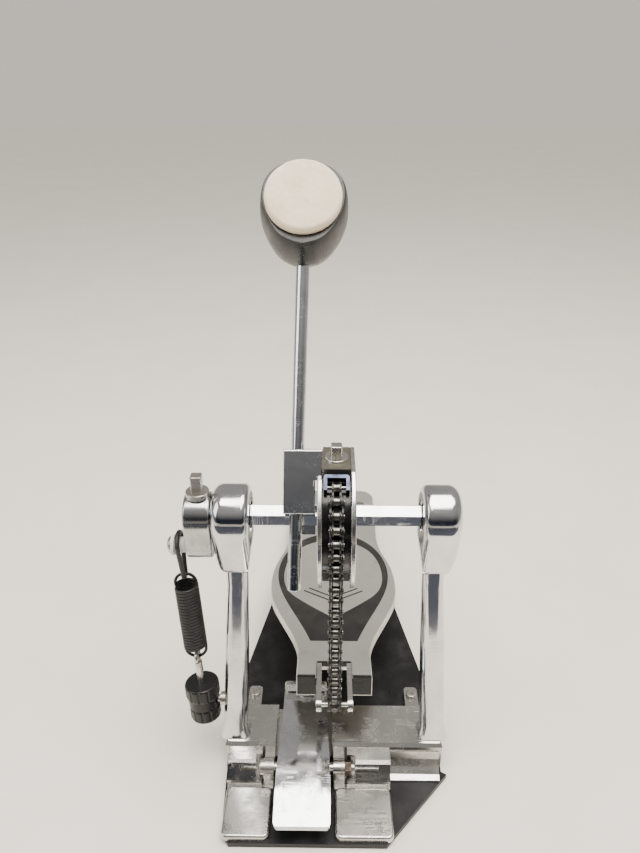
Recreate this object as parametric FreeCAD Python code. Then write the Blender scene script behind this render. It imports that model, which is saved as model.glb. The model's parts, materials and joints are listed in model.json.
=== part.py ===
import FreeCAD, Part
import math
import os

# Bass drum pedal, real size in millimetres.
# Origin: middle of the underside, on the floor, straight below the axle.
# +X is the right of the pedal seen from the drum, +Y is the heel, +Z is up.

V = FreeCAD.Vector
os.makedirs("parts", exist_ok=True)

# ---------------------------------------------------------------- dimensions
AXLE_Z = 190.0                # axle height above the floor
HEX_FLATS = 12.0              # axle across flats
JOURNAL_R = 5.0               # round axle ends in the bearings
STUB_FLATS = 8.6              # hex stub that carries the rocker
RUN_GAP = 0.05                # radial running clearance

MAT_TOP = 1.2                 # rubber mat under the plate
PLATE_TOP = 3.7               # top of the steel plate
CAST_TOP = 25.0               # top of the cross casting
LEDGE_TOP = 19.0              # lower rear ledge of the casting
CAST_FRONT = -34.0
CAST_BACK = 4.0
SLOT_X = (-39.5, -1.0)        # slot for the hoop clamp lever
SLOT_FLOOR = 13.0

BEARING_X = (60.5, 67.5)      # bearing between these distances from centre
POCKET_R = 11.0

CLAMP_Y = -45.0               # hoop clamp pivot
CLAMP_Z = 17.0
CLAMP_X = -20.0               # middle of the lever
WING_Y = 9.0                  # wing bolt axis

CHAIN_PITCH = 8.0
CHAIN_R = 40.0                # pitch radius on the cam
ROLLER_R = 2.5
PIN_R = 1.15
PLATE_R = 3.4                 # round end of a chain plate
INNER_PLATE_X = (1.6, 2.6)
OUTER_PLATE_X = (2.9, 3.9)
PIN_END_X = 4.6
RUN_LINKS = 14                # free links between cam and clevis
WRAP_STEP = 2.0 * math.degrees(math.asin(CHAIN_PITCH / 2.0 / CHAIN_R))

TRACK_R = 35.2                # glossy track under the chain
CAM_R = 43.0
CAM_TOP = 40.2                # flat on top of the cam, above the axle
CAM_INNER_X = 8.0
CAM_OUTER_X = 10.8

BEATER_TILT = 28.0            # rest angle of the beater, leaning to the heel
ROD_R = 4.0
ROD_LEAN = 1.3                # rod leans a little to the chain side
HEAD_TILT = 12.0              # head tipped back further than the rod
HEAD_Z = 177.3

TOE_Y = -18.0                 # top front edge of the footboard
TOE_Z = 74.0
BOARD_SLOPE = 12.3
BOARD_LENGTH = 248.5
BOARD_THICK = 3.0
SKIRT_DEPTH = 7.0
SKIRT_WALL = 2.5
CLEVIS_Y = -40.0              # clevis pin, straight under the chain
CLEVIS_Z = 72.0
HEEL_Y = 229.5                # heel hinge pin
HEEL_Z = 15.5
KNUCKLE_R = 4.4

STUD = V(-88.0, -20.0, 53.0)          # lower pivot of the spring
SPRING_TOP = V(-96.0, -4.0, 170.0)    # upper pivot on the rocker
SPRING_LENGTH = (SPRING_TOP - STUD).Length
STUD_R = 2.6                  # cross pin in the left upright
COIL_R = 6.7
WIRE_R = 1.0
COIL_PITCH = 2.2
COIL_TURNS = 21.5
COIL_START = 42.4             # first coil, measured up from the lower pivot


# ------------------------------------------------------------------- helpers
def box(x0, x1, y0, y1, z0, z1):
    return Part.makeBox(x1 - x0, y1 - y0, z1 - z0, V(x0, y0, z0))


def cyl_x(radius, x0, x1, y, z):
    return Part.makeCylinder(radius, x1 - x0, V(x0, y, z), V(1, 0, 0))


def cyl_y(radius, x, y0, y1, z):
    return Part.makeCylinder(radius, y1 - y0, V(x, y0, z), V(0, 1, 0))


def cyl_z(radius, x, y, z0, z1):
    return Part.makeCylinder(radius, z1 - z0, V(x, y, z0), V(0, 0, 1))


def fuse(shapes):
    joined = shapes[0].multiFuse(shapes[1:])
    return joined.removeSplitter()


def cut(shape, tools):
    result = shape
    for tool in tools:
        result = result.cut(tool)
    return result


def prism_x(points_yz, x0, x1):
    corners = [V(x0, y, z) for y, z in points_yz]
    face = Part.Face(Part.makePolygon(corners + corners[:1]))
    return face.extrude(V(x1 - x0, 0, 0))


def prism_z(points_xy, z0, z1):
    corners = [V(x, y, z0) for x, y in points_xy]
    face = Part.Face(Part.makePolygon(corners + corners[:1]))
    return face.extrude(V(0, 0, z1 - z0))


def taper_x(x0, x1, y0, z0, r0, y1, z1, r1):
    """Two discs joined by their common tangents, extruded along X."""
    dy = y1 - y0
    dz = z1 - z0
    span = math.hypot(dy, dz)
    lead = math.atan2(dz, dy)
    side = math.acos((r0 - r1) / span)
    corners = []
    for cy, cz, radius, sign in [(y0, z0, r0, 1), (y0, z0, r0, -1),
                                 (y1, z1, r1, -1), (y1, z1, r1, 1)]:
        angle = lead + sign * side
        corners.append((cy + radius * math.cos(angle), cz + radius * math.sin(angle)))
    body = prism_x(corners, x0, x1)
    return fuse([body, cyl_x(r0, x0, x1, y0, z0), cyl_x(r1, x0, x1, y1, z1)])


def hex_x(flats, x0, x1, y=0.0, z=AXLE_Z):
    """Hexagon bar along X with a corner at the top."""
    reach = flats / math.sqrt(3.0)
    corners = []
    for step in range(6):
        angle = math.radians(90 + 60 * step)
        corners.append((y + reach * math.cos(angle), z + reach * math.sin(angle)))
    return prism_x(corners, x0, x1)


def hex_nut_x(flats, x0, x1, y, z, bore):
    return hex_x(flats, x0, x1, y, z).cut(cyl_x(bore, x0 - 1, x1 + 1, y, z))


def mirror_x(shape):
    return shape.mirror(V(0, 0, 0), V(1, 0, 0))


def tilt(shape, degrees, centre):
    """Turn about an X-parallel line through centre."""
    turned = shape.copy()
    turned.rotate(centre, V(1, 0, 0), degrees)
    return turned


def round_edges(shape, radius, wanted):
    edges = [edge for edge in shape.Edges if wanted(edge)]
    if not edges:
        return shape
    return shape.makeFillet(radius, edges)


def rounded_slab(x0, x1, y0, y1, z0, z1, radius):
    slab = box(x0, x1, y0, y1, z0, z1)
    upright = lambda edge: abs(edge.tangentAt(edge.FirstParameter).z) > 0.99
    return round_edges(slab, radius, upright)


def save(node, shapes):
    solids = []
    for shape in shapes:
        solids.extend(shape.Solids)
    target = solids[0] if len(solids) == 1 else Part.makeCompound(solids)
    target.exportStep("parts/" + node + ".step")


# ---------------------------------------------------------- base plate, mat
def plate_outline():
    return [(-66, -88.2), (33, -88.2), (77, -40), (73.5, -38), (73.5, 0), (69, 50),
            (54, 128), (44.5, 200), (44.5, 284), (38.5, 290), (-38.5, 290),
            (-44.5, 284), (-44.5, 200), (-54, 128), (-69, 50), (-73.5, 0),
            (-73.5, -30), (-71, -82)]


def make_mat():
    return prism_z(plate_outline(), 0.0, MAT_TOP)


def make_plate():
    return prism_z(plate_outline(), MAT_TOP, PLATE_TOP)


# ------------------------------------------------------------- base casting
def foot_block(x0, x1, plateau_x0, plateau_x1):
    pad = rounded_slab(x0, x1, -86.8, -53.0, PLATE_TOP, 8.2, 4.0)
    lip = lambda edge: edge.BoundBox.YMax < -86.7 and edge.BoundBox.ZMin > 8.0
    pad = round_edges(pad, 1.6, lip)
    step = box(x0, x1, -53.6, CAST_FRONT, PLATE_TOP, 6.6)
    plateau = prism_x([(-51.5, PLATE_TOP), (-33.5, PLATE_TOP), (-33.5, 22.6), (-43.0, 22.0),
                       (-45.2, 20.6), (-51.0, 10.8), (-51.5, 9.6)], plateau_x0, plateau_x1)
    return fuse([pad, step, plateau])


def pivot_lug(x0, x1):
    post = box(x0, x1, CLAMP_Y - 5.5, CLAMP_Y + 11.0, PLATE_TOP, CLAMP_Z)
    return fuse([post, cyl_x(5.5, x0, x1, CLAMP_Y, CLAMP_Z)])


def cross_member():
    profile = [(CAST_FRONT, PLATE_TOP), (CAST_BACK, PLATE_TOP), (CAST_BACK, LEDGE_TOP - 1),
               (CAST_BACK - 1, LEDGE_TOP), (-9.0, LEDGE_TOP), (-12.5, CAST_TOP),
               (CAST_FRONT + 2, CAST_TOP), (CAST_FRONT, CAST_TOP - 2)]
    bar = prism_x(profile, -73.5, 73.5)
    end_corner = lambda edge: (abs(abs(edge.CenterOfMass.x) - 73.5) < 0.01
                               and edge.BoundBox.ZMin > PLATE_TOP + 1
                               and edge.Length > 8)
    bar = round_edges(bar, 1.5, end_corner)
    slot = box(SLOT_X[0], SLOT_X[1], CAST_FRONT - 1, CAST_BACK + 1, SLOT_FLOOR, CAST_TOP + 1)
    hollow_left = box(-69.5, -43.0, -29.0, -1.0, PLATE_TOP - 1, 15.0)
    hollow_right = box(3.0, 69.5, -29.0, -1.0, PLATE_TOP - 1, 15.0)
    return cut(bar, [slot, hollow_left, hollow_right])


def rear_tab():
    tab = rounded_slab(54.0, 64.0, CAST_BACK - 0.5, 29.5, PLATE_TOP, 8.0, 3.0)
    return tab.cut(cyl_z(2.1, 59.0, 22.0, 0, 20))


def make_casting():
    left_foot = foot_block(-71.0, -40.5, -71.0, -48.0)
    right_foot = foot_block(0.6, 37.6, 9.0, 37.6)
    gusset = prism_x([(CAST_FRONT, PLATE_TOP), (-45.5, PLATE_TOP), (-45.5, 5.0), (-42.0, 6.4),
                      (-38.5, 9.6), (-36.0, 14.0), (-34.6, 19.5), (CAST_FRONT, 19.5)], 37.6, 71.5)
    parts = [cross_member(), left_foot, right_foot, gusset, rear_tab(), mirror_x(rear_tab()),
             pivot_lug(-46.5, -39.8), pivot_lug(-0.2, 7.2)]
    casting = fuse(parts)
    pivot_hole = cyl_x(3.0, -60, 30, CLAMP_Y, CLAMP_Z)
    head_recess = box(-52.0, -46.5, -60.0, -39.5, 10.0, 30.0)
    nut_recess = box(7.2, 14.6, -60.0, -39.5, 10.0, 30.0)
    return cut(casting, [pivot_hole, head_recess, nut_recess])


def cap_screw(x, y, seat):
    shank = cyl_z(2.1, x, y, PLATE_TOP, seat)
    head = cyl_z(3.6, x, y, seat, seat + 2.4)
    head = round_edges(head, 0.8, lambda edge: edge.BoundBox.ZMin > seat + 2)
    socket = cyl_z(1.5, x, y, seat + 0.9, seat + 4)
    return fuse([shank, head]).cut(socket)


def make_frame_screws():
    return [cap_screw(59.0, 22.0, 8.0), cap_screw(-59.0, 22.0, 8.0)]


# ------------------------------------------------------------------ uprights
def section(width, depth, x, y, z, radius):
    slab = rounded_slab(x - width / 2, x + width / 2, y - depth / 2, y + depth / 2,
                        z, z + 1.0, radius)
    bottom = [face for face in slab.Faces if face.BoundBox.ZMax < z + 0.01]
    return bottom[0].OuterWire


def housing_outline():
    """Seen from the front: the bearing housing narrows into the column."""
    outer = Part.BSplineCurve()
    outer.interpolate([V(75, -40, 200), V(74.8, -40, 180), V(73.6, -40, 166), V(71, -40, 155),
                       V(68.2, -40, 146)])
    inner = Part.BSplineCurve()
    inner.interpolate([V(55.4, -40, 146), V(54, -40, 155), V(52.2, -40, 166), V(51.4, -40, 180),
                       V(51.4, -40, 200)])
    edges = [outer.toShape(), Part.makeLine(V(68.2, -40, 146), V(55.4, -40, 146)), inner.toShape(),
             Part.makeLine(V(51.4, -40, 200), V(51.4, -40, 215)),
             Part.makeLine(V(51.4, -40, 215), V(75, -40, 215)),
             Part.makeLine(V(75, -40, 215), V(75, -40, 200))]
    return Part.Face(Part.Wire(edges)).extrude(V(0, 80, 0))


def make_upright():
    """Right-hand upright: flared foot, leaning column and bearing barrel."""
    flare = Part.makeLoft([section(20, 17, 67.4, -22.0, CAST_TOP, 5.0),
                           section(17.6, 15.5, 67.2, -21.4, 30.0, 5.5),
                           section(16.5, 14.5, 66.8, -20.6, 36.0, 5.6)], True, False)
    column = Part.makeLoft([section(16.5, 14.5, 66.8, -20.6, 36.0, 5.6),
                            section(15.9, 14.4, 65.4, -16.0, 65.0, 5.5),
                            section(15.2, 14.2, 64.0, -11.3, 95.0, 5.4),
                            section(13.2, 13.8, 61.8, -4.2, 140.0, 5.2),
                            section(13.0, 13.6, 61.7, -2.0, 154.0, 5.1),
                            section(13.0, 13.6, 61.7, -1.0, 166.0, 5.1)], True, True)
    barrel = taper_x(51.7, 74.5, 0.0, AXLE_Z, 19.0, -1.6, 157.0, 8.6)
    outer_end = lambda edge: edge.BoundBox.XMin > 74.4
    inner_end = lambda edge: edge.BoundBox.XMax < 51.8
    barrel = round_edges(round_edges(barrel, 7.0, outer_end), 4.0, inner_end)
    body = fuse([barrel.common(housing_outline()), column, flare])
    pocket = cyl_x(POCKET_R, BEARING_X[0], 80.0, 0, AXLE_Z)
    mouth = cyl_x(8.5, 48.0, BEARING_X[0] + 1, 0, AXLE_Z)
    counterbore = cyl_x(10.5, 48.0, 52.9, 0, AXLE_Z)
    screw_hole = cyl_z(2.6, 67.0, -22.0, CAST_TOP - 1, CAST_TOP + 9)
    return cut(body, [pocket, mouth, counterbore, screw_hole])


def make_uprights():
    right = make_upright()
    stud_hole = cyl_x(STUD_R, -80.0, -60.0, STUD.y, STUD.z)
    return mirror_x(right).cut(stud_hole), right


def make_upright_stud():
    return cyl_z(2.6, 67.0, -22.0, 15.0, CAST_TOP + 9)


# ------------------------------------------------------------------ bearings
def ring_x(outer, inner, x0, x1):
    return cyl_x(outer, x0, x1, 0, AXLE_Z).cut(cyl_x(inner, x0 - 1, x1 + 1, 0, AXLE_Z))


def ball_groove(radius):
    middle = (BEARING_X[0] + BEARING_X[1]) / 2
    return Part.makeTorus(8.0, radius, V(middle, 0, AXLE_Z), V(1, 0, 0))


def make_outer_race():
    return ring_x(POCKET_R, 9.1, BEARING_X[0], BEARING_X[1]).cut(ball_groove(1.62))


def make_inner_race():
    return ring_x(6.9, JOURNAL_R, BEARING_X[0], BEARING_X[1]).cut(ball_groove(1.95))


def make_balls():
    middle = (BEARING_X[0] + BEARING_X[1]) / 2
    balls = []
    for step in range(9):
        angle = math.radians(40 * step)
        centre = V(middle, 8.0 * math.cos(angle), AXLE_Z + 8.0 * math.sin(angle))
        balls.append(Part.makeSphere(1.6, centre))
    return balls


def make_cap(open_for_axle):
    cap = cyl_x(POCKET_R, BEARING_X[1], 73.8, 0, AXLE_Z)
    rim = lambda edge: edge.BoundBox.XMin > 73.7
    cap = round_edges(cap, 0.8, rim)
    cap = cap.cut(cyl_x(9.2, BEARING_X[1] - 1, 70.0, 0, AXLE_Z))
    if open_for_axle:
        cap = cap.cut(cyl_x(JOURNAL_R + 0.5, 60, 80, 0, AXLE_Z))
    return cap


# ------------------------------------------------------- hoop clamp and bolt
def curved_slab(top, under, x0, x1):
    """Extrusion along X between two smooth curves joined by straight ends."""
    upper = Part.BSplineCurve()
    upper.interpolate([V(x0, y, z) for y, z in top])
    lower = Part.BSplineCurve()
    lower.interpolate([V(x0, y, z) for y, z in under])
    front = Part.makeLine(V(x0, *top[-1]), V(x0, *under[0]))
    back = Part.makeLine(V(x0, *under[-1]), V(x0, *top[0]))
    face = Part.Face(Part.Wire([upper.toShape(), front, lower.toShape(), back]))
    return face.extrude(V(x1 - x0, 0, 0))


def lever_planform():
    half = [(15.5, 16.0), (15.5, -10.0), (17.75, -60.0), (17.75, -87.6)]
    right = [(CLAMP_X + x, y) for x, y in half]
    left = [(CLAMP_X - x, y) for x, y in reversed(half)]
    front_corner = lambda edge: edge.CenterOfMass.y < -87.5 and edge.BoundBox.ZLength > 10
    return round_edges(prism_z(right + left, 0.0, 60.0), 4.0, front_corner)


def make_lever():
    top = [(14.0, 27.0), (-20.0, 28.4), (-45.0, 27.6), (-66.0, 24.2), (-86.5, 19.0)]
    under = [(-87.3, 16.4), (-66.0, 19.6), (-45.0, 22.4), (-20.0, 23.5), (14.0, 22.6)]
    blade = curved_slab(top, under, CLAMP_X - 17.75, CLAMP_X + 17.75).common(lever_planform())
    floor = [(-79.0, 20.2), (-62.0, 24.0), (-45.0, 26.6), (-20.0, 27.5), (2.0, 27.0)]
    blade = blade.cut(curved_slab(floor, [(2.0, 32.0), (-79.0, 32.0)], CLAMP_X - 13.2, CLAMP_X + 13.2))
    cheeks = []
    for x0 in (CLAMP_X - 17.2, CLAMP_X + 13.2):
        cheeks.append(cyl_x(5.8, x0, x0 + 4.0, CLAMP_Y, CLAMP_Z))
        cheeks.append(box(x0, x0 + 4.0, CLAMP_Y - 5.8, CLAMP_Y + 5.8, CLAMP_Z, 23.5))
    lever = fuse([blade] + cheeks)
    pivot = cyl_x(3.0 + RUN_GAP, -60, 30, CLAMP_Y, CLAMP_Z)
    bolt_hole = cyl_z(3.0 + RUN_GAP, CLAMP_X, WING_Y, 15, 40)
    return cut(lever, [pivot, bolt_hole])


def make_clamp_bolt():
    shank = cyl_x(3.0, -46.5, 13.5, CLAMP_Y, CLAMP_Z)
    head = cyl_x(4.8, -50.0, -46.5, CLAMP_Y, CLAMP_Z)
    head = round_edges(head, 1.4, lambda edge: edge.BoundBox.XMax < -49.9)
    return fuse([shank, head])


def make_clamp_nut():
    nut = hex_nut_x(9.0, 7.2, 11.6, CLAMP_Y, CLAMP_Z, 3.0)
    return nut


def make_wing_bolt():
    foot = 4.2
    shank = cyl_z(3.0, CLAMP_X, WING_Y, foot, 31.0)
    hub = cyl_z(5.5, CLAMP_X, WING_Y, 27.9, 33.5)
    hub = round_edges(hub, 1.5, lambda edge: edge.BoundBox.ZMin > 33.4)
    wings = []
    for side in (-1, 1):
        x_near = CLAMP_X + side * 3.0
        x_far = CLAMP_X + side * 15.3
        wing = box(min(x_near, x_far), max(x_near, x_far), WING_Y - 1.6, WING_Y + 1.6, 28.4, 35.2)
        tip = lambda edge: abs(edge.CenterOfMass.x - x_far) < 0.01 and edge.BoundBox.YLength > 3
        wings.append(round_edges(wing, 3.0, tip))
    return fuse([shank, hub] + wings)


# -------------------------------------------------------------- heel hinge
def make_heel_plate():
    body = box(-44.0, 44.0, 235.2, 289.0, PLATE_TOP, 18.0)
    corner = lambda edge: edge.CenterOfMass.y > 288.9 and edge.BoundBox.ZLength > 10
    body = round_edges(body, 14.0, corner)
    top_rim = lambda edge: edge.BoundBox.ZMin > 17.9
    body = round_edges(body, 2.5, top_rim)
    hollow = box(-39.0, 39.0, 241.0, 283.0, PLATE_TOP - 1, 14.5)
    body = body.cut(hollow)
    knuckles = []
    for x0, x1 in heel_knuckles():
        arm = prism_x([(HEEL_Y, HEEL_Z - KNUCKLE_R), (236.0, HEEL_Z - KNUCKLE_R),
                       (236.0, 17.4), (HEEL_Y, HEEL_Z + KNUCKLE_R)], x0, x1)
        knuckles.append(fuse([arm, cyl_x(KNUCKLE_R, x0, x1, HEEL_Y, HEEL_Z)]))
    heel = fuse([body] + knuckles)
    bores = [cyl_x(2.5, -50, 50, HEEL_Y, HEEL_Z)]
    for x in (-29.0, 29.0):
        bores.append(cyl_z(2.5, x, 262.0, 0, 30))
        bores.append(cyl_z(4.6, x, 262.0, 15.6, 30))
    return cut(heel, bores)


def heel_knuckles():
    return [(-43.5, -30.4), (-13.6, 13.6), (30.4, 43.5)]


def board_knuckles():
    return [(-30.0, -14.0), (14.0, 30.0)]


def make_heel_pin():
    pin = cyl_x(2.5, -44.5, 44.5, HEEL_Y, HEEL_Z)
    return round_edges(pin, 0.6, lambda edge: edge.BoundBox.XLength < 0.01)


def make_heel_screws():
    screws = []
    for x in (-29.0, 29.0):
        shank = cyl_z(2.5, x, 262.0, PLATE_TOP, 15.6)
        head = cyl_z(4.4, x, 262.0, 15.6, 17.6)
        slot = box(x - 5, x + 5, 261.4, 262.6, 16.7, 20)
        screws.append(fuse([shank, head]).cut(slot))
    return screws


# ---------------------------------------------------------------- footboard
def board_side():
    """Half widths of the footboard against the distance from the toe."""
    return [(0, 25.2), (22, 25.2), (38, 27.6), (56, 33.8), (76, 41.8), (96, 48.6), (116, 51.6),
            (137, 52.0), (162, 49.2), (190, 43.6), (218, 42.4), (BOARD_LENGTH, 43.6)]


def smooth_outline(side, inset, z):
    """Closed outline, mirrored about X = 0, from half widths along Y."""
    right = [V(half - inset, along, z) for along, half in side]
    left = [V(-point.x, point.y, z) for point in reversed(right)]
    right_curve = Part.BSplineCurve()
    right_curve.interpolate(right[1:])
    left_curve = Part.BSplineCurve()
    left_curve.interpolate(left[:-1])
    edges = [Part.makeLine(left[-1], right[0]), Part.makeLine(right[0], right[1]),
             right_curve.toShape(), Part.makeLine(right[-1], left[0]),
             left_curve.toShape(), Part.makeLine(left[-2], left[-1])]
    return Part.Face(Part.Wire(edges))


def pointed_outline(side, z, flat_front):
    """Closed shape whose back end runs to a point on the centre line."""
    right = [V(half, along, z) for along, half in side]
    left = [V(-point.x, point.y, z) for point in reversed(right)]
    curve = Part.BSplineCurve()
    curve.interpolate(right + left[1:])
    edges = [curve.toShape()]
    if flat_front:
        edges.append(Part.makeLine(left[-1], right[0]))
    return Part.Face(Part.Wire(edges))


def band_face(z):
    side = [(38.6, 17.0), (58, 23.6), (86, 34.6), (114, 43.6), (137, 47.0), (158, 46.4),
            (178, 42.4), (198, 34.0), (214, 20.0), (221, 0)]
    return pointed_outline(side, z, True)


def shield_face(z):
    right = [V(30.4, 100, z), V(38.6, 115, z), V(41.8, 136, z), V(40.6, 158, z), V(34.6, 180, z),
             V(21.0, 198, z), V(0, 206, z)]
    left = [V(-point.x, point.y, z) for point in reversed(right)]
    curve = Part.BSplineCurve()
    curve.interpolate(right + left[1:])
    tip = V(0, 69.5, z)
    tip_left = Part.Arc(V(-30.4, 100, z), V(-17.5, 86.0, z), tip).toShape()
    tip_right = Part.Arc(tip, V(17.5, 86.0, z), V(30.4, 100, z)).toShape()
    return Part.Face(Part.Wire([curve.toShape(), tip_left, tip_right]))


def on_board(shape):
    """Move from the flat footboard frame to its place on the pedal."""
    placed = shape.copy()
    placed.rotate(V(0, 0, 0), V(1, 0, 0), -BOARD_SLOPE)
    placed.translate(V(0, TOE_Y, TOE_Z))
    return placed


def inlay_solid():
    depth = 0.8
    band = band_face(-depth).extrude(V(0, 0, depth))
    shield = shield_face(-depth - 1).extrude(V(0, 0, depth + 2))
    return band.cut(shield)


def crest_marks(top):
    """Two shallow chevrons near the tip of the shield and a ring behind them."""
    marks = []
    for reach, start in ((24.0, 92.0), (20.0, 99.0)):
        for side in (-1, 1):
            corners = [(0, start), (side * reach, start + reach * 0.72),
                       (side * reach, start + reach * 0.72 + 2.2), (0, start + 2.2)]
            marks.append(prism_z(corners, -0.6, top))
    ring = cyl_z(13.0, 0, 146, -0.6, top).cut(cyl_z(11.0, 0, 146, -1, top + 1))
    marks.append(ring)
    return marks


def make_footboard():
    outer = smooth_outline(board_side(), 0.0, -SKIRT_DEPTH).extrude(V(0, 0, SKIRT_DEPTH))
    inner = smooth_outline(board_side(), SKIRT_WALL, -SKIRT_DEPTH - 1)
    inner = inner.extrude(V(0, 0, SKIRT_DEPTH + 1 - BOARD_THICK))
    front_open = box(-22.7, 22.7, -5, 6, -SKIRT_DEPTH - 1, -BOARD_THICK)
    notch = rounded_slab(-12.0, 12.0, -5.0, 15.0, -20, 5, 1.5)
    board = outer
    rim = lambda edge: edge.BoundBox.ZMin > -0.01 and edge.BoundBox.YLength > 100
    board = round_edges(board, 1.2, rim)
    board = cut(board, [inner, front_open, notch, inlay_solid()] + crest_marks(1.0))
    for x in (-31.0, 0.0, 31.0):
        rib = box(x - 1.2, x + 1.2, 118.0, 236.0, -SKIRT_DEPTH, -BOARD_THICK)
        board = board.fuse(rib)
    board = on_board(board.removeSplitter())
    knuckles = []
    for x0, x1 in board_knuckles():
        arm = box(x0, x1, 243.0, 254.3, -8.83, -0.03)
        arm = on_board(arm)
        knuckles.append(fuse([arm, cyl_x(KNUCKLE_R, x0, x1, HEEL_Y, HEEL_Z)]))
    board = fuse([board] + knuckles + make_toe_trim())
    bores = [cyl_x(3.5, x0 - 1, x1 + 1, HEEL_Y, HEEL_Z) for x0, x1 in board_knuckles()]
    screw_holes = [on_board(cyl_z(1.7, x, 24.0, -9, -0.7)) for x in (-6.5, 6.5)]
    return cut(board, bores + screw_holes)


def make_heel_bushes():
    bushes = []
    for x0, x1 in board_knuckles():
        tube = cyl_x(3.5, x0, x1, HEEL_Y, HEEL_Z)
        bushes.append(tube.cut(cyl_x(2.5 + RUN_GAP, x0 - 1, x1 + 1, HEEL_Y, HEEL_Z)))
    return bushes


def make_toe_block():
    """Black front of the board beside the clevis, and a liner behind the chain."""
    face = box(-24.5, 24.5, -2.4, -0.1, -13.6, -0.5)
    root = box(-22.4, 22.4, -0.2, 5.9, -12.6, -BOARD_THICK - 0.05)
    gap = box(-12.4, 12.4, -5, 20, -30, 0)
    liner = box(-11.2, 11.2, 12.8, 14.6, -BOARD_THICK, -0.4)
    return [on_board(fuse([face, root]).cut(gap)), on_board(liner)]


def make_toe_trim():
    """Thin bright angle around the toe block."""
    trims = []
    for side in (-1, 1):
        wall = box(24.6, 25.2, -2.4, 6.0, -14.3, -0.8)
        sill = box(12.6, 25.2, -2.4, 6.0, -14.3, -13.7)
        trim = fuse([wall, sill])
        trims.append(on_board(trim if side > 0 else mirror_x(trim)))
    return trims


def clevis_centre():
    """Clevis pin in the flat footboard frame, as distance along and height."""
    dy = CLEVIS_Y - TOE_Y
    dz = CLEVIS_Z - TOE_Z
    slope = math.radians(BOARD_SLOPE)
    return dy * math.cos(slope) - dz * math.sin(slope), dy * math.sin(slope) + dz * math.cos(slope)


def make_clevis():
    along, height = clevis_centre()
    ears = []
    for x0, x1 in ((-11.6, -8.4), (8.4, 11.6)):
        nose = taper_x(x0, x1, along, height, 4.4, 7.0, -3.0, 5.6)
        tail = box(x0, x1, 6.0, 16.5, -7.0, -BOARD_THICK)
        ears.append(fuse([nose, tail]))
    web = box(-11.6, 11.6, 14.0, 32.0, -6.4, -BOARD_THICK)
    clevis = fuse(ears + [web])
    screw_holes = [cyl_z(1.7, x, 24.0, -9, 0) for x in (-6.5, 6.5)]
    pin_hole = cyl_x(1.5, -20, 20, along, height)
    return on_board(cut(clevis, screw_holes + [pin_hole]))


def make_clevis_screws():
    screws = []
    for x in (-6.5, 6.5):
        shank = cyl_z(1.7, x, 24.0, -6.4, -0.8)
        head = cyl_z(3.0, x, 24.0, -8.0, -6.4)
        screws.append(on_board(fuse([shank, head])))
    return screws


def make_clevis_pin():
    pin = cyl_x(1.5, -12.0, 12.0, CLEVIS_Y, CLEVIS_Z)
    return round_edges(pin, 0.4, lambda edge: edge.BoundBox.XLength < 0.01)


# --------------------------------------------------------------------- chain
def wrap_point(step):
    """Chain joint at a number of pitches up the cam from the tangent point."""
    angle = math.radians(WRAP_STEP * step)
    return V(0, -CHAIN_R * math.cos(angle), AXLE_Z + CHAIN_R * math.sin(angle))


def run_point(step):
    return V(0, -CHAIN_R, AXLE_Z - CHAIN_PITCH * step)


def chain_plate(low, high, span_x, hole):
    """One plate of a link, with a narrowed waist, between two joints."""
    x0, x1 = span_x
    plate = taper_x(x0, x1, 0, 0, PLATE_R, 0, CHAIN_PITCH, PLATE_R - 0.001)
    for y in (-6.6, 6.6):
        plate = plate.cut(cyl_x(4.0, x0 - 1, x1 + 1, y, CHAIN_PITCH / 2))
    for z in (0, CHAIN_PITCH):
        plate = plate.cut(cyl_x(hole, x0 - 1, x1 + 1, 0, z))
    lean = math.degrees(math.atan2(-(high.y - low.y), high.z - low.z))
    plate.rotate(V(0, 0, 0), V(1, 0, 0), lean)
    plate.translate(V(0, low.y, low.z))
    return plate


def link_plates(low, high, outer, top_hole=None):
    span = OUTER_PLATE_X if outer else INNER_PLATE_X
    hole = PIN_R if outer else PIN_R + RUN_GAP
    right = chain_plate(low, high, span, hole)
    if top_hole:
        right = right.cut(cyl_x(top_hole, 0, 9, high.y, high.z))
    return [right, mirror_x(right)]


def roller(point, reach=INNER_PLATE_X[0]):
    barrel = cyl_x(ROLLER_R, -reach, reach, point.y, point.z)
    return barrel.cut(cyl_x(PIN_R + RUN_GAP, -5, 5, point.y, point.z))


def link_pin(point, reach=PIN_END_X):
    pin = cyl_x(PIN_R, -reach, reach, point.y, point.z)
    return round_edges(pin, 0.3, lambda edge: edge.BoundBox.XLength < 0.01)


def make_run():
    plates = []
    bright = []
    for step in range(RUN_LINKS):
        outer = step % 2 == 0
        high = run_point(step)
        low = run_point(step + 1)
        plates.extend(link_plates(low, high, outer))
        if outer:
            bright.extend([link_pin(high), link_pin(low)])
        else:
            bright.extend([roller(high), roller(low)])
    return plates, bright


def make_end_link():
    """Forked eye that carries the foot of the chain on the clevis pin."""
    top = run_point(RUN_LINKS)
    right = taper_x(2.9, 4.4, CLEVIS_Y, CLEVIS_Z, 4.4, top.y, top.z, PLATE_R)
    pin_hole = cyl_x(1.5 + RUN_GAP, 0, 8, CLEVIS_Y, CLEVIS_Z)
    right = cut(right, [pin_hole, cyl_x(PIN_R, 0, 8, top.y, top.z)])
    bridge = box(-2.9, 2.9, CLEVIS_Y - 4.3, CLEVIS_Y - 2.6, CLEVIS_Z - 1.0, CLEVIS_Z + 2.6)
    return fuse([right, mirror_x(right), bridge])


def make_end_screw():
    z = CLEVIS_Z + 0.8
    head = cyl_y(1.8, 0, CLEVIS_Y - 5.4, CLEVIS_Y - 4.3, z)
    cross = box(-1.3, 1.3, CLEVIS_Y - 6, CLEVIS_Y - 4.9, z - 0.25, z + 0.25)
    upright = box(-0.25, 0.25, CLEVIS_Y - 6, CLEVIS_Y - 4.9, z - 1.3, z + 1.3)
    return cut(head, [cross, upright])


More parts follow.
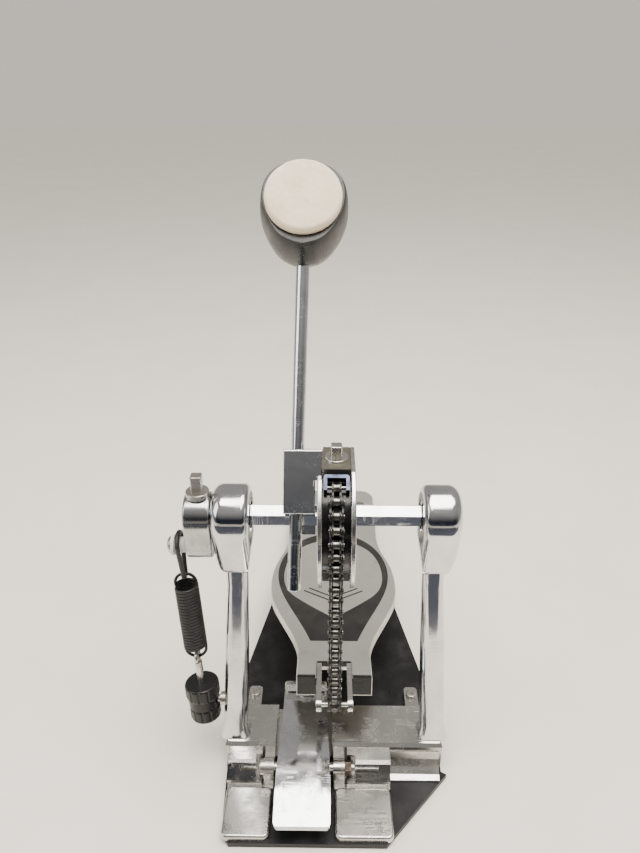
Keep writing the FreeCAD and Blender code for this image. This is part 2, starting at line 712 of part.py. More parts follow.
# ------------------------------------------------------------ axle and cam
def make_axle():
    bar = hex_x(HEX_FLATS, -BEARING_X[0], BEARING_X[0])
    right_end = cyl_x(JOURNAL_R, BEARING_X[0], 69.5, 0, AXLE_Z)
    left_end = cyl_x(JOURNAL_R, -74.9, -BEARING_X[0], 0, AXLE_Z)
    stub = hex_x(STUB_FLATS, -89.4, -74.9)
    return fuse([bar, right_end, left_end, stub])


def cam_blank(radius, x0, x1):
    disc = cyl_x(radius, x0, x1, 0, AXLE_Z)
    behind = prism_x([(13.0, AXLE_Z + 60), (13.0, AXLE_Z + 12), (11.0, AXLE_Z - 14),
                      (0.0, AXLE_Z - 34), (0.0, AXLE_Z - 60), (60.0, AXLE_Z - 60),
                      (60.0, AXLE_Z + 60)], x0 - 1, x1 + 1)
    above = box(x0 - 1, x1 + 1, -60, 60, AXLE_Z + CAM_TOP, AXLE_Z + 60)
    return cut(disc, [behind, above])


def axle_hole():
    return hex_x(HEX_FLATS, -70, 70)


def make_cam_plate(x0, x1):
    plate = cam_blank(CAM_R, x0, x1)
    rim = lambda edge: edge.BoundBox.XLength < 0.01 and edge.BoundBox.YLength > 20
    plate = round_edges(plate, 0.7, rim)
    slots = []
    for angle in (150.0, 185.0, 220.0):
        y = 24.0 * math.cos(math.radians(angle))
        z = AXLE_Z + 24.0 * math.sin(math.radians(angle))
        slots.append(cyl_x(4.5, x0 - 1, x1 + 1, y, z))
    return cut(plate, slots + [axle_hole()])


def make_left_plate():
    """Left cam plate, cut away under the beater block."""
    clear = prism_x([(-23.0, AXLE_Z + 43.3), (-10.0, AXLE_Z + 18), (20.0, AXLE_Z + 18),
                     (20.0, AXLE_Z + 60), (-23.0, AXLE_Z + 60)], -CAM_OUTER_X - 1, -CAM_INNER_X + 1)
    plate = make_cam_plate(-CAM_OUTER_X, -CAM_INNER_X)
    return cut(plate, [clear, make_hub()])


def make_cam_track():
    """Track that the chain wraps on, carried down behind the hanging chain."""
    track = cam_blank(TRACK_R, -CAM_INNER_X, CAM_INNER_X)
    tail = cam_blank(41.0, -CAM_INNER_X, CAM_INNER_X)
    tail = tail.common(box(-9, 9, -16, 0, AXLE_Z - 45, AXLE_Z - 28))
    return fuse([track, tail]).cut(axle_hole())


def make_cam_boss():
    blank = cam_blank(CAM_R, -CAM_INNER_X, CAM_INNER_X)
    keep = box(-9, 9, -12.5, 12.9, AXLE_Z + 20, AXLE_Z + 60)
    core = cyl_x(TRACK_R, -9, 9, 0, AXLE_Z)
    return blank.common(keep).cut(core).cut(cyl_z(3.0, 0, 0.5, AXLE_Z + 20, AXLE_Z + 60))


def square_bolt(x, y, seat, shank_low, side, height):
    shank = cyl_z(3.0, x, y, shank_low, seat)
    head = box(x - side / 2, x + side / 2, y - side / 2, y + side / 2, seat, seat + height)
    head = round_edges(head, 1.0, lambda edge: edge.BoundBox.ZLength > height - 1)
    top = lambda edge: edge.BoundBox.ZMin > seat + height - 0.01
    head = round_edges(head, 0.8, top)
    return fuse([shank, head])


def washer(x, y, low, high, radius):
    disc = cyl_z(radius, x, y, low, high)
    disc = round_edges(disc, 0.5, lambda edge: edge.BoundBox.ZMin > high - 0.01)
    return disc.cut(cyl_z(3.0, x, y, low - 1, high + 1))


def make_chain_clip():
    """Inverted U that pins the last link to the cam."""
    reach = 7.2
    bar = box(-reach, reach, -42.6, -36.2, AXLE_Z + 5.0, AXLE_Z + 7.0)
    bar = round_edges(bar, 1.6, lambda edge: edge.BoundBox.YLength > 6
                      and edge.BoundBox.ZMin > AXLE_Z + 6.9)
    legs = [box(5.3, reach, -42.6, -36.2, AXLE_Z - 2.4, AXLE_Z + 5.0),
            box(-reach, -5.3, -42.6, -36.2, AXLE_Z - 2.4, AXLE_Z + 5.0)]
    clip = fuse([bar] + legs)
    clip = clip.cut(cyl_x(PIN_R, -9, 9, -CHAIN_R, AXLE_Z))
    clip = clip.cut(cyl_x(TRACK_R, -9, 9, 0, AXLE_Z))
    return tilt(clip, -5 * WRAP_STEP, V(0, 0, AXLE_Z))


def make_wrapped_links():
    points = [wrap_point(step) for step in range(6)]
    plates = link_plates(points[3], points[4], True) + link_plates(points[4], points[5], False)
    bright = [link_pin(points[3]), link_pin(points[4]), roller(points[4]), roller(points[5])]
    bright.append(roller(points[3], 1.3))
    bright.append(link_pin(points[5], 7.2))
    return plates, bright


# ----------------------------------------------------------- beater and hub
def in_beater(shape):
    """Move from the upright beater frame to its tilted place on the axle."""
    placed = shape.copy()
    placed.rotate(V(0, 0, 0), V(1, 0, 0), -BEATER_TILT)
    placed.translate(V(0, 0, AXLE_Z))
    return placed


def leaned(shape):
    """Lean a piece along the rod, about the rod's place in the block."""
    placed = shape.copy()
    placed.rotate(V(-23.2, -12.0, 20.0), V(0, 1, 0), ROD_LEAN)
    return placed


def make_hub():
    face = box(-30.8, -8.05, -20.0, 13.0, 3.0, 40.2)
    step = box(-12.3, -8.0, -21, 14.0, 1.0, 22.5)
    step_back = box(-12.3, -8.0, -2.0, 14.0, 1.0, 45.0)
    block = face.cut(step).cut(step_back)
    leg = box(-24.5, -12.3, 0.5, 13.0, -12.0, 3.0)
    hub = fuse([block, leg])
    corner = lambda edge: edge.CenterOfMass.y < -19.9 and edge.Length > 12
    hub = round_edges(hub, 0.8, corner)
    bore = leaned(cyl_z(ROD_R + RUN_GAP, -23.2, -12.0, -30, 60))
    key_hole = cyl_y(2.6, -23.2, -10.0, 20, 27.0)
    hub = cut(hub, [bore, key_hole])
    return in_beater(hub).cut(axle_hole())


def make_key_bolt():
    shank = cyl_y(2.6, -23.2, -7.5, 13.0, 27.0)
    head = box(-26.8, -19.6, 13.0, 24.0, 23.4, 30.6)
    head = round_edges(head, 1.0, lambda edge: edge.BoundBox.YLength > 10)
    return in_beater(fuse([shank, head]))


def make_rod():
    rod = cyl_z(ROD_R, -23.2, -12.0, -43.0, 185.0)
    rod = round_edges(rod, 0.8, lambda edge: edge.BoundBox.ZLength < 0.01)
    return in_beater(leaned(rod))


def egg_wire(y, scale):
    """Egg outline seen along the strike, broad at the top."""
    half = [(6.0, -28.6), (13.5, -24.8), (20.6, -15.5), (25.0, -4.5), (25.8, 4.5), (23.6, 15.0),
            (15.6, 23.0)]
    points = [V(-23.2 + x * scale, y, HEAD_Z + z * scale) for x, z in half]
    points.append(V(-23.2, y, HEAD_Z + 26.0 * scale))
    points.extend([V(-23.2 - x * scale, y, HEAD_Z + z * scale) for x, z in reversed(half)])
    points.append(V(-23.2, y, HEAD_Z - 30.0 * scale))
    curve = Part.BSplineCurve()
    curve.interpolate(points, PeriodicFlag=True)
    return Part.Wire([curve.toShape()])


def in_head(shape):
    """Tip a piece of the head back on the rod."""
    return tilt(shape, -HEAD_TILT, V(-23.2, -12.0, HEAD_Z))


def make_head():
    wires = [egg_wire(-32.0, 0.895), egg_wire(-27.5, 0.95), egg_wire(-20.0, 0.99),
             egg_wire(-11.0, 1.0), egg_wire(-3.0, 0.95), egg_wire(4.0, 0.83)]
    shell = Part.makeLoft(wires, True, False)
    seat = cyl_y(22.1, -23.2, -34.0, -28.0, HEAD_Z)
    rod_hole = cyl_z(ROD_R, -23.2, -12.0, 100.0, 185.0)
    return in_beater(leaned(in_head(shell.cut(seat)).cut(rod_hole)))


def make_felt():
    felt = cyl_y(22.0, -23.2, -38.5, -28.0, HEAD_Z)
    felt = round_edges(felt, 1.2, lambda edge: edge.BoundBox.YMax < -38.4)
    return in_beater(leaned(in_head(felt)))


# ------------------------------------------------------------- spring rocker
def make_rocker():
    body = taper_x(-91.0, -75.0, 0.0, AXLE_Z, 14.0, SPRING_TOP.y, SPRING_TOP.z + 1.0, 8.5)
    slant = Part.Face(Part.makePolygon([V(-91.1, 0, 189.0), V(-98.0, 0, 189.0),
                                        V(-98.0, 0, 150.0), V(-88.4, 0, 150.0),
                                        V(-90.3, 0, 168.0), V(-91.1, 0, 189.0)]))
    waste = slant.extrude(V(0, 40, 0))
    waste.translate(V(0, -20, 0))
    ends = lambda edge: edge.BoundBox.XLength < 0.01
    body = round_edges(body, 1.5, ends)
    holes = [hex_x(STUB_FLATS, -95, -70), cyl_z(3.0, -82.8, 0, 195, 220),
             cyl_x(2.5, -100, -78.5, SPRING_TOP.y, SPRING_TOP.z)]
    flat = box(-95, -70, -20, 20, AXLE_Z + 13.6, AXLE_Z + 20)
    return cut(body, [waste, flat] + holes)


def make_rocker_screw():
    shank = cyl_x(2.5, -100.6, -78.5, SPRING_TOP.y, SPRING_TOP.z)
    head = cyl_x(5.3, -103.4, -100.6, SPRING_TOP.y, SPRING_TOP.z)
    head = round_edges(head, 2.4, lambda edge: edge.BoundBox.XMax < -103.3)
    recess = cyl_x(1.4, -105, -102.4, SPRING_TOP.y, SPRING_TOP.z)
    return fuse([shank, head]).cut(recess)


def make_rocker_bush():
    barrel = cyl_x(4.8, -98.8, -86.9, SPRING_TOP.y, SPRING_TOP.z)
    flange = cyl_x(6.6, -100.6, -98.8, SPRING_TOP.y, SPRING_TOP.z)
    bore = cyl_x(2.5, -110, -78, SPRING_TOP.y, SPRING_TOP.z)
    body = fuse([barrel, flange]).cut(bore)
    return body.cut(make_rocker())


# ------------------------------------------------------------- return spring
def on_spring(shape):
    """Stand a piece, built along Z, on the line from the stud to the rocker."""
    back = math.degrees(math.atan2(SPRING_TOP.y - STUD.y, SPRING_TOP.z - STUD.z))
    side = math.degrees(math.asin((STUD.x - SPRING_TOP.x) / SPRING_LENGTH))
    placed = shape.copy()
    placed.rotate(V(0, 0, 0), V(0, 1, 0), -side)
    placed.rotate(V(0, 0, 0), V(1, 0, 0), -back)
    placed.translate(STUD)
    return placed


def bent_wire(path, start, direction, radius):
    profile = Part.Wire([Part.makeCircle(radius, start, direction)])
    return Part.Wire(path).makePipeShell([profile], True, True)


def end_loop(height, upward):
    """Open round hook in the X-Z plane at one end of the coil."""
    sweep = []
    for degrees in (-42, 90, 222):
        angle = math.radians(degrees)
        lift = COIL_R * math.sin(angle)
        sweep.append(V(COIL_R * math.cos(angle), 0, height + (lift if upward else -lift)))
    arc = Part.Arc(sweep[0], sweep[1], sweep[2]).toShape()
    return bent_wire([arc], sweep[0], arc.tangentAt(arc.FirstParameter), WIRE_R)


def make_spring():
    height = COIL_PITCH * COIL_TURNS
    helix = Part.makeHelix(COIL_PITCH, height, COIL_R)
    start = V(COIL_R, 0, 0)
    profile = Part.Wire([Part.makeCircle(WIRE_R, start, V(0, 1, 0))])
    coil = Part.Wire(helix.Edges).makePipeShell([profile], True, True)
    coil.translate(V(0, 0, COIL_START))
    top = COIL_START + height
    upper = end_loop(SPRING_LENGTH - 20.65 - COIL_R, True)
    lower = end_loop(34.65 + COIL_R, False)
    trim = cyl_z(20, 0, 0, COIL_START - WIRE_R - 0.2, top + WIRE_R + 0.2)
    return [on_spring(coil), on_spring(upper.cut(trim)), on_spring(lower.cut(trim))]


def make_link_ring():
    """Pear-shaped ring: wide over the bush, narrow where the spring hooks in."""
    wide = 7.7
    narrow = 3.2
    drop = 20.0
    lean = math.asin((wide - narrow) / drop)
    top = SPRING_LENGTH
    ny = math.cos(lean)
    nz = math.sin(lean)
    a = V(0, wide * ny, top + wide * nz)
    b = V(0, -wide * ny, top + wide * nz)
    c = V(0, -narrow * ny, top - drop + narrow * nz)
    d = V(0, narrow * ny, top - drop + narrow * nz)
    path = [Part.Arc(a, V(0, 0, top + wide), b).toShape(), Part.makeLine(b, c),
            Part.Arc(c, V(0, 0, top - drop - narrow), d).toShape(), Part.makeLine(d, a)]
    return on_spring(bent_wire(path, a, path[0].tangentAt(path[0].FirstParameter), 1.5))


def make_tension_rod():
    eye = Part.makeTorus(3.2, 1.5, V(0, 0, 34.0), V(1, 0, 0))
    stem = cyl_z(2.5, 0, 0, -14.5, 30.6)
    return on_spring(fuse([stem, eye]))


def knob(radius, low, high, bore):
    body = cyl_z(radius, 0, 0, low, high)
    body = round_edges(body, 1.6, lambda edge: edge.BoundBox.ZLength < 0.01)
    grips = []
    for step in range(12):
        angle = math.radians(30 * step)
        grips.append(cyl_z(1.3, (radius + 0.7) * math.cos(angle), (radius + 0.7) * math.sin(angle),
                           low - 1, high + 1))
    return cut(body, grips + [cyl_z(bore, 0, 0, low - 1, high + 1)])


def make_swivel():
    body = cyl_z(10.2, 0, 0, -3.6, 3.6)
    body = body.cut(cyl_z(2.5, 0, 0, -10, 10))
    return on_spring(body).cut(cyl_x(STUD_R + RUN_GAP, -84.9, -70, STUD.y, STUD.z))


def make_stud():
    pin = cyl_x(STUD_R, -84.6, -60.0, STUD.y, STUD.z)
    pin = round_edges(pin, 0.6, lambda edge: edge.BoundBox.XMax < -84.5)
    collar = cyl_x(4.6, -76.2, -73.0, STUD.y, STUD.z)
    return fuse([pin, collar.cut(mirror_x(make_upright()))])


# -------------------------------------------------------------------- output
def save_base():
    left, right = make_uprights()
    tap = cyl_z(2.6, 67.0, -22.0, 14.0, 40.0)
    casting = cut(make_casting(), [tap, mirror_x(tap)])
    save("base_mat", [make_mat()])
    save("base_plate", [make_plate()])
    save("base_casting", [casting])
    studs = [make_upright_stud(), mirror_x(make_upright_stud())]
    save("frame_screws", make_frame_screws() + studs)
    save("upright_left", [left])
    save("upright_right", [right])
    save("bearing_outer_races", [make_outer_race(), mirror_x(make_outer_race())])
    save("bearing_balls", make_balls() + [mirror_x(ball) for ball in make_balls()])
    save("bearing_caps", [mirror_x(make_cap(True)), make_cap(False)])
    save("spring_stud", [make_stud()])
    save("clamp_bolt", [make_clamp_bolt()])
    save("clamp_nut", [make_clamp_nut()])
    save("heel_plate", [make_heel_plate()])
    save("heel_pin", [make_heel_pin()])
    save("heel_screws", make_heel_screws())


def save_clamp():
    save("clamp_lever", [make_lever()])
    save("wing_bolt", [make_wing_bolt()])


def save_board():
    save("footboard", [make_footboard()])
    inlay = [inlay_solid()] + crest_marks(0.0)
    save("footboard_inlay", [on_board(piece) for piece in inlay])
    save("toe_block", make_toe_block())
    save("toe_clevis", [make_clevis()])
    save("clevis_screws", make_clevis_screws())
    save("clevis_pin", [make_clevis_pin()])
    save("heel_bushes", make_heel_bushes())


def save_axle():
    plates, bright = make_wrapped_links()
    save("axle", [make_axle()])
    save("bearing_inner_races", [make_inner_race(), mirror_x(make_inner_race())])
    save("cam_plate_left", [make_left_plate()])
    save("cam_plate_right", [make_cam_plate(CAM_INNER_X, CAM_OUTER_X)])
    save("cam_track", [make_cam_track()])
    save("cam_boss", [make_cam_boss()])
    save("cam_bolt", [square_bolt(0, 0.5, 231.4, 225.3, 6.5, 7.4)])
    save("bolt_washers", [washer(0, 0.5, 230.2, 231.4, 6.8),
                          washer(-82.8, 0, AXLE_Z + 13.6, 207.2, 7.1)])
    save("chain_clip", [make_chain_clip()])
    save("chain_wrap_plates", plates)
    save("chain_wrap_rollers", bright)
    save("beater_hub", [make_hub()])
    save("beater_key_bolt", [make_key_bolt()])
    save("spring_rocker", [make_rocker()])
    save("rocker_bolt", [square_bolt(-82.8, 0, 207.2, 195.0, 6.8, 10.8)])
    save("rocker_screw", [make_rocker_screw()])
    save("rocker_bush", [make_rocker_bush()])


def save_beater():
    save("beater_rod", [make_rod()])
    save("beater_shell", [make_head()])
    save("beater_felt", [make_felt()])


def save_chain():
    points = [wrap_point(step) for step in range(4)]
    plates, bright = make_run()
    save("chain_run_plates", plates)
    save("chain_run_rollers", bright + [make_end_screw()])
    save("chain_end_link", [make_end_link()])
    save("chain_link_1_plates", link_plates(points[0], points[1], False))
    save("chain_link_1_rollers", [roller(points[0]), roller(points[1])])
    save("chain_link_2_plates", link_plates(points[1], points[2], True))
    save("chain_link_2_pins", [link_pin(points[1]), link_pin(points[2])])
    save("chain_link_3_plates", link_plates(points[2], points[3], False, 2.6))
    save("chain_link_3_rollers", [roller(points[2])])


def save_spring():
    save("return_spring", make_spring())
    save("spring_link", [make_link_ring()])
    save("tension_rod", [make_tension_rod()])
    save("spring_swivel", [make_swivel()])
    save("tension_knob", [on_spring(knob(11.4, 3.6, 13.8, 2.5))])
    save("lock_knob", [on_spring(knob(10.2, -13.8, -3.9, 2.5 + RUN_GAP))])


save_base()
save_clamp()
save_board()
save_axle()
save_beater()
save_chain()
save_spring()
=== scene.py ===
import json
import math

import bmesh
import bpy
from mathutils import Matrix, Vector
from mathutils import noise as mnoise


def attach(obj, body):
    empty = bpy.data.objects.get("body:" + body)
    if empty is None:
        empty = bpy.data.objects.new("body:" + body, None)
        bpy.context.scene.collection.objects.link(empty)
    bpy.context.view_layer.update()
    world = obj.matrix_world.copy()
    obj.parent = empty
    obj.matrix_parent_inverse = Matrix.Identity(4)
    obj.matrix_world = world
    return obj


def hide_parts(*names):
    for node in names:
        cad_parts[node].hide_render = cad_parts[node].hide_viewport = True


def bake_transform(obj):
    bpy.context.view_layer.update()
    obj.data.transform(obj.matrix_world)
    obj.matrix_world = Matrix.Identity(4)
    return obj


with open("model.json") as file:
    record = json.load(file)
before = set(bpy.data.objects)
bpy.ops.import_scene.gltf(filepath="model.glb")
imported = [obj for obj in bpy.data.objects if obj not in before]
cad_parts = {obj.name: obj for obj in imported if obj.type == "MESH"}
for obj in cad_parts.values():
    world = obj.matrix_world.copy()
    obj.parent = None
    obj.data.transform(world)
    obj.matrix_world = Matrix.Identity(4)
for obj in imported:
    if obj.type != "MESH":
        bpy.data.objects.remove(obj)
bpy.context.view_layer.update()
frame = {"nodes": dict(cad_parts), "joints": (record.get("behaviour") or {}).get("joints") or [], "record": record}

MM = 0.001

# Return spring, in mm measured up its axis from the lower pivot
COIL_R = 6.7
WIRE_R = 1.0
COIL_START = 42.4
COIL_PITCH = 2.2
COIL_TURNS = 21.5
SPRING_LENGTH = 118.36
LOWER_HOOK = 34.65            # lowest wire of the lower loop
UPPER_HOOK = 20.65            # upper loop, measured down from the upper pivot
COIL_STEPS = 28               # points round one turn
LOOP_STEPS = 44
LOOP_GAP = 42                 # degrees below level where a loop opens
LOOP_SWEEP = 264

# Beater felt, in mm from the middle of its face
FELT_R = 21.9
FELT_EDGE = 2.2
FELT_CROWN = 0.9
FELT_DEPTH = 10.2
FELT_AROUND = 120
FELT_LOOSE = -5.0             # the nap stands up above this depth only
FACE_RINGS = 26
SIDE_RINGS = 8

# Camera, in degrees and metres
PITCH = 62.0
YAW = 0.68
ROLL = 0.3
EYE = (-0.005, -0.337, 0.430)
nodes = frame["nodes"]
joint_of = {joint["name"]: joint for joint in frame["joints"]}


# ------------------------------------------------------------ material kit
class Surface:
    """One procedural material on a Principled shader, in object space."""

    def __init__(self, name, color, roughness, metallic=0.0, **sockets):
        self.material = bpy.data.materials.new(name)
        self.material.use_nodes = True
        self.tree = self.material.node_tree
        self.shader = self.tree.nodes["Principled BSDF"]
        self.shader.inputs["Base Color"].default_value = (*color, 1.0)
        self.shader.inputs["Roughness"].default_value = roughness
        self.shader.inputs["Metallic"].default_value = metallic
        for socket, value in sockets.items():
            self.shader.inputs[socket.replace("_", " ")].default_value = value
        self.coords = self.tree.nodes.new("ShaderNodeTexCoord").outputs["Object"]
        self.normal = None

    def node(self, kind, **values):
        made = self.tree.nodes.new(kind)
        for key, value in values.items():
            setattr(made, key, value)
        return made

    def link(self, source, target):
        self.tree.links.new(source, target)

    def place(self, stretch, turn):
        mapping = self.node("ShaderNodeMapping")
        mapping.inputs["Scale"].default_value = stretch
        mapping.inputs["Rotation"].default_value = turn
        self.link(self.coords, mapping.inputs["Vector"])
        return mapping.outputs["Vector"]

    def noise(self, scale, detail=4.0, rough=0.55, stretch=(1, 1, 1), turn=(0, 0, 0), warp=0.0):
        made = self.node("ShaderNodeTexNoise")
        made.inputs["Scale"].default_value = scale
        made.inputs["Detail"].default_value = detail
        made.inputs["Roughness"].default_value = rough
        made.inputs["Distortion"].default_value = warp
        self.link(self.place(stretch, turn), made.inputs["Vector"])
        return made.outputs["Fac"]

    def cells(self, scale, feature="F1", stretch=(1, 1, 1), output="Distance"):
        made = self.node("ShaderNodeTexVoronoi", feature=feature)
        made.inputs["Scale"].default_value = scale
        self.link(self.place(stretch, (0, 0, 0)), made.inputs["Vector"])
        return made.outputs[output]

    def span(self, value, low, high, to_low=0.0, to_high=1.0):
        made = self.node("ShaderNodeMapRange", interpolation_type="SMOOTHSTEP")
        self.link(value, made.inputs["Value"])
        made.inputs["From Min"].default_value = low
        made.inputs["From Max"].default_value = high
        made.inputs["To Min"].default_value = to_low
        made.inputs["To Max"].default_value = to_high
        return made.outputs["Result"]

    def calc(self, operation, first, second):
        made = self.node("ShaderNodeMath", operation=operation)
        for socket, value in zip(made.inputs, (first, second)):
            if isinstance(value, (int, float)):
                socket.default_value = value
            else:
                self.link(value, socket)
        return made.outputs["Value"]

    def mix(self, factor, first, second):
        made = self.node("ShaderNodeMix", data_type="RGBA")
        self.link(factor, made.inputs["Factor"])
        for socket, value in (("A", first), ("B", second)):
            target = [s for s in made.inputs if s.name == socket and s.type == "RGBA"][0]
            if isinstance(value, tuple):
                target.default_value = (*value, 1.0)
            else:
                self.link(value, target)
        return [s for s in made.outputs if s.type == "RGBA"][0]

    def color(self, source):
        self.link(source, self.shader.inputs["Base Color"])

    def rough(self, source):
        self.link(source, self.shader.inputs["Roughness"])

    def bump(self, height, strength, depth_mm):
        made = self.node("ShaderNodeBump")
        made.inputs["Strength"].default_value = strength
        made.inputs["Distance"].default_value = depth_mm * MM
        self.link(height, made.inputs["Height"])
        if self.normal is not None:
            self.link(self.normal, made.inputs["Normal"])
        self.normal = made.outputs["Normal"]
        self.link(self.normal, self.shader.inputs["Normal"])

    def hairlines(self, scale, long_axis, width=0.04, turn=(0, 0, 0)):
        """Sparse thin scratches, long in one direction."""
        stretch = [1.0, 1.0, 1.0]
        stretch[long_axis] = 0.03
        field = self.noise(scale, 2.0, 0.5, tuple(stretch), turn)
        ridge = self.calc("ABSOLUTE", self.calc("SUBTRACT", field, 0.5), 0.0)
        line = self.span(ridge, 0.0, width, 1.0, 0.0)
        gate = self.span(self.noise(scale * 0.12, 2.0), 0.5, 0.62)
        return self.calc("MULTIPLY", line, gate)

    def edge_wear(self, radius_mm, low=0.02, high=0.25):
        """1 on convex and concave edges, 0 on flats."""
        bevel = self.node("ShaderNodeBevel", samples=4)
        bevel.inputs["Radius"].default_value = radius_mm * MM
        geometry = self.node("ShaderNodeNewGeometry")
        dot = self.node("ShaderNodeVectorMath", operation="DOT_PRODUCT")
        self.link(bevel.outputs["Normal"], dot.inputs[0])
        self.link(geometry.outputs["Normal"], dot.inputs[1])
        off = self.calc("SUBTRACT", 1.0, dot.outputs["Value"])
        return self.span(off, low, high)


def metal(name, color, dull, rough_range, waviness=0.0, scratch=0.5, smudge=26.0):
    """Bare metal: two tones, uneven polish, hairlines and a wavy surface."""
    surface = Surface(name, color, rough_range[0], 1.0)
    patches = surface.noise(smudge, 6.0, 0.62, warp=0.4)
    surface.color(surface.mix(surface.span(patches, 0.35, 0.7), color, dull))
    lines = surface.calc("MAXIMUM", surface.hairlines(620.0, 0, turn=(0.2, 0.1, 0.5)),
                         surface.hairlines(540.0, 2, turn=(0.1, 0.6, 0.2)))
    base = surface.span(patches, 0.3, 0.75, rough_range[0], rough_range[1])
    specks = surface.span(surface.noise(900.0, 3.0, 0.7), 0.62, 0.75, 0.0, 0.10 * scratch)
    marked = surface.calc("ADD", base, surface.calc("MULTIPLY", lines, 0.22 * scratch))
    surface.rough(surface.calc("ADD", marked, specks))
    if waviness:
        surface.bump(surface.noise(34.0, 2.0, 0.4), 1.0, waviness)
    surface.bump(lines, 0.35 * scratch, 0.02)
    return surface


def cast_aluminium():
    surface = metal("cast_aluminium", (0.64, 0.625, 0.595), (0.47, 0.455, 0.43), (0.16, 0.34),
                    waviness=0.10, scratch=1.0, smudge=38.0)
    surface.bump(surface.noise(1400.0, 3.0, 0.6), 0.12, 0.03)
    return surface


def polished_casting():
    return metal("polished_casting", (0.72, 0.725, 0.735), (0.58, 0.585, 0.60), (0.07, 0.17),
                 waviness=0.22, scratch=0.5, smudge=30.0)


def chrome():
    return metal("chrome", (0.74, 0.75, 0.77), (0.60, 0.61, 0.63), (0.06, 0.15),
                 waviness=0.03, scratch=0.9, smudge=60.0)


def fastener_steel():
    return metal("fastener_steel", (0.66, 0.64, 0.60), (0.42, 0.40, 0.36), (0.20, 0.38),
                 scratch=1.0, smudge=120.0)


def bearing_steel():
    return metal("bearing_steel", (0.72, 0.72, 0.72), (0.58, 0.58, 0.58), (0.10, 0.22))


def dark_nut():
    return metal("dark_nut", (0.09, 0.07, 0.055), (0.04, 0.032, 0.027), (0.32, 0.5), smudge=200.0)


def cam_steel():
    return metal("cam_steel", (0.70, 0.69, 0.67), (0.50, 0.49, 0.46), (0.16, 0.34),
                 waviness=0.04, scratch=1.0, smudge=70.0)


def olive_cast():
    return metal("olive_cast", (0.40, 0.38, 0.31), (0.26, 0.25, 0.20), (0.26, 0.42),
                 waviness=0.05, smudge=90.0)


def clip_steel():
    return metal("clip_steel", (0.075, 0.085, 0.14), (0.03, 0.034, 0.055), (0.24, 0.4), smudge=150.0)


def rocker_steel():
    return metal("rocker_steel", (0.50, 0.50, 0.50), (0.36, 0.36, 0.365), (0.12, 0.26),
                 waviness=0.06, scratch=0.8, smudge=60.0)


def brass_bush():
    return metal("brass_bush", (0.62, 0.45, 0.20), (0.42, 0.29, 0.12), (0.25, 0.4), smudge=150.0)


def chain_bright():
    return metal("chain_bright", (0.27, 0.26, 0.24), (0.09, 0.084, 0.076), (0.22, 0.42),
                 smudge=260.0)


def worn_black(name, rough_range, wear_mm, steel=(0.42, 0.40, 0.38), metallic=0.35):
    """Blackened steel that is rubbed back to metal on its edges."""
    surface = Surface(name, (0.02, 0.02, 0.021), rough_range[0], metallic)
    grime = surface.noise(240.0, 5.0, 0.6)
    tone = surface.mix(surface.span(grime, 0.35, 0.7), (0.008, 0.008, 0.009), (0.024, 0.023, 0.021))
    wear = surface.edge_wear(wear_mm, 0.03, 0.35)
    broken = surface.calc("MULTIPLY", wear, surface.span(surface.noise(700.0, 4.0), 0.42, 0.66))
    surface.color(surface.mix(broken, tone, steel))
    surface.rough(surface.span(grime, 0.3, 0.7, rough_range[0], rough_range[1]))
    surface.bump(surface.noise(1500.0, 3.0), 0.15, 0.02)
    return surface


def chain_black():
    return worn_black("chain_black", (0.30, 0.5), 0.25, metallic=0.1)


def spring_black():
    return worn_black("spring_black", (0.34, 0.54), 0.25, steel=(0.10, 0.10, 0.10), metallic=0.05)


def black_steel():
    """Powder-coated plate: pebbled satin black with dust and shoe scuffs."""
    surface = Surface("black_steel", (0.020, 0.020, 0.022), 0.46, Specular_IOR_Level=0.3)
    dust = surface.noise(60.0, 6.0, 0.65)
    surface.color(surface.mix(surface.span(dust, 0.42, 0.78), (0.008, 0.008, 0.009),
                              (0.026, 0.025, 0.024)))
    lines = surface.hairlines(420.0, 1, 0.03, (0, 0, 0.35))
    base = surface.span(dust, 0.3, 0.75, 0.34, 0.56)
    surface.rough(surface.calc("SUBTRACT", base, surface.calc("MULTIPLY", lines, 0.12)))
    surface.bump(surface.noise(950.0, 2.0, 0.5), 0.5, 0.06)
    return surface


def rubber_mat():
    surface = Surface("rubber_mat", (0.03, 0.03, 0.031), 0.78)
    dust = surface.noise(90.0, 5.0)
    surface.color(surface.mix(surface.span(dust, 0.35, 0.75), (0.020, 0.020, 0.021),
                              (0.060, 0.058, 0.055)))
    surface.rough(surface.span(dust, 0.3, 0.7, 0.66, 0.88))
    surface.bump(surface.noise(1300.0, 3.0), 0.6, 0.08)
    return surface


def board_silver():
    """Warm lacquered aluminium, matted by shoes and darker in its grime."""
    surface = Surface("board_silver", (0.60, 0.58, 0.54), 0.40, 0.80)
    broad = surface.noise(16.0, 5.0, 0.6)
    fine = surface.noise(120.0, 5.0, 0.65)
    tone = surface.mix(surface.span(broad, 0.35, 0.7), (0.64, 0.62, 0.585), (0.53, 0.51, 0.47))
    stains = surface.span(fine, 0.60, 0.74, 0.0, 0.55)
    surface.color(surface.mix(stains, tone, (0.36, 0.34, 0.30)))
    lines = surface.calc("MAXIMUM", surface.hairlines(380.0, 1, 0.03, (0, 0, 0.25)),
                         surface.hairlines(460.0, 0, 0.03, (0, 0, 0.8)))
    base = surface.span(broad, 0.3, 0.7, 0.34, 0.48)
    surface.rough(surface.calc("ADD", base, surface.calc("MULTIPLY", lines, 0.16)))
    surface.bump(surface.noise(1600.0, 3.0), 0.18, 0.03)
    surface.bump(lines, 0.3, 0.02)
    return surface


